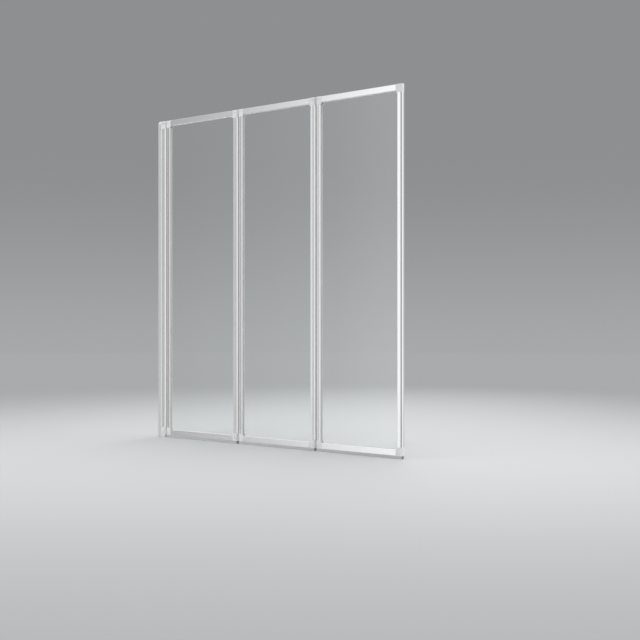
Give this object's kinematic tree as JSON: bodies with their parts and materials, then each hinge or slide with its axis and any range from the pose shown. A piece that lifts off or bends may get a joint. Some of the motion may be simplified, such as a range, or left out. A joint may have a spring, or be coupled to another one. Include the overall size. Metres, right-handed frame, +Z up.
{
  "type": "folding bath screen",
  "caption": "Wall-hung bath screen of framed clear glass panels in a row, folding flat on double-pin link hinges, with soft seals on the bath rim.",
  "frame": {"origin": "on the wall face, in the middle of the frame thickness, at the level of the bath rim", "axes": "+X away from the wall along the screen, +Y over the bath, +Z up; -Y is the room side"},
  "size_m": [1.27, 0.0262, 1.4],
  "materials": {
    "aluminium": "satin silver anodised extrusion",
    "moulded_plastic": "light grey moulded plastic, fine satin grain",
    "link_plate": "light grey glass-filled plastic",
    "joint_strip": "soft grey strip",
    "bottom_seal": "soft translucent grey seal",
    "gasket": "soft dark grey glazing gasket",
    "glass": "clear toughened glass, smooth",
    "steel": "plain stainless steel"
  },
  "bodies": {
    "wall_frame": {"wall_profile": "aluminium", "adjusting_profile": "aluminium", "wall_cap_top": "moulded_plastic", "wall_cap_bottom": "moulded_plastic", "wall_hinge_block_top": "moulded_plastic", "wall_hinge_block_bottom": "moulded_plastic", "wall_hinge_pins": "steel", "clamp_screws": "steel", "clamp_screw_covers": "moulded_plastic"},
    "link_0": {"link_0_top": "link_plate", "link_0_bottom": "link_plate", "joint_strip_0": "joint_strip"},
    "panel_1": {"panel_1_stile_left": "aluminium", "panel_1_stile_right": "aluminium", "panel_1_rail_top": "aluminium", "panel_1_rail_bottom": "aluminium", "panel_1_corner_top_left": "moulded_plastic", "panel_1_corner_top_right": "moulded_plastic", "panel_1_corner_bottom_left": "moulded_plastic", "panel_1_corner_bottom_right": "moulded_plastic", "panel_1_glass": "glass", "panel_1_gasket": "gasket", "panel_1_bottom_seal": "bottom_seal", "panel_1_corner_screws": "steel", "panel_1_hinge_pins": "steel"},
    "link_1": {"link_1_top": "link_plate", "link_1_bottom": "link_plate", "joint_strip_1": "joint_strip"},
    "panel_2": {"panel_2_stile_left": "aluminium", "panel_2_stile_right": "aluminium", "panel_2_rail_top": "aluminium", "panel_2_rail_bottom": "aluminium", "panel_2_corner_top_left": "moulded_plastic", "panel_2_corner_top_right": "moulded_plastic", "panel_2_corner_bottom_left": "moulded_plastic", "panel_2_corner_bottom_right": "moulded_plastic", "panel_2_glass": "glass", "panel_2_gasket": "gasket", "panel_2_bottom_seal": "bottom_seal", "panel_2_corner_screws": "steel", "panel_2_hinge_pins": "steel"},
    "link_2": {"link_2_top": "link_plate", "link_2_bottom": "link_plate", "joint_strip_2": "joint_strip"},
    "panel_3": {"panel_3_stile_left": "aluminium", "panel_3_stile_right": "aluminium", "panel_3_rail_top": "aluminium", "panel_3_rail_bottom": "aluminium", "panel_3_corner_top_left": "moulded_plastic", "panel_3_corner_top_right": "moulded_plastic", "panel_3_corner_bottom_left": "moulded_plastic", "panel_3_corner_bottom_right": "moulded_plastic", "panel_3_glass": "glass", "panel_3_gasket": "gasket", "panel_3_bottom_seal": "bottom_seal", "panel_3_corner_screws": "steel", "panel_3_hinge_pins": "steel"}
  },
  "joints": [
    {"name": "wall_swing_link", "type": "hinge", "parent": "wall_frame", "child": "link_0", "pos_m": [0.0324, 0, 0], "axis": [0, 0, 1], "range_deg": [0, 45]},
    {"name": "wall_swing", "type": "hinge", "parent": "link_0", "child": "panel_1", "pos_m": [0.0546, 0, 0], "axis": [0, 0, 1], "range_deg": [0, 45]},
    {"name": "fold_1_link", "type": "hinge", "parent": "panel_1", "child": "link_1", "pos_m": [0.4516, 0, 0], "axis": [0, 0, -1], "range_deg": [0, 90]},
    {"name": "fold_1", "type": "hinge", "parent": "link_1", "child": "panel_2", "pos_m": [0.4738, 0, 0], "axis": [0, 0, -1], "range_deg": [0, 90]},
    {"name": "fold_2_link", "type": "hinge", "parent": "panel_2", "child": "link_2", "pos_m": [0.8558, 0, 0], "axis": [0, 0, 1], "range_deg": [0, 90]},
    {"name": "fold_2", "type": "hinge", "parent": "link_2", "child": "panel_3", "pos_m": [0.878, 0, 0], "axis": [0, 0, 1], "range_deg": [0, 90]}
  ],
  "couplings": [
    {"joint": "wall_swing_link", "follows": "wall_swing", "ratio": 1},
    {"joint": "fold_1_link", "follows": "fold_1", "ratio": 1},
    {"joint": "fold_2_link", "follows": "fold_2", "ratio": 1}
  ]
}
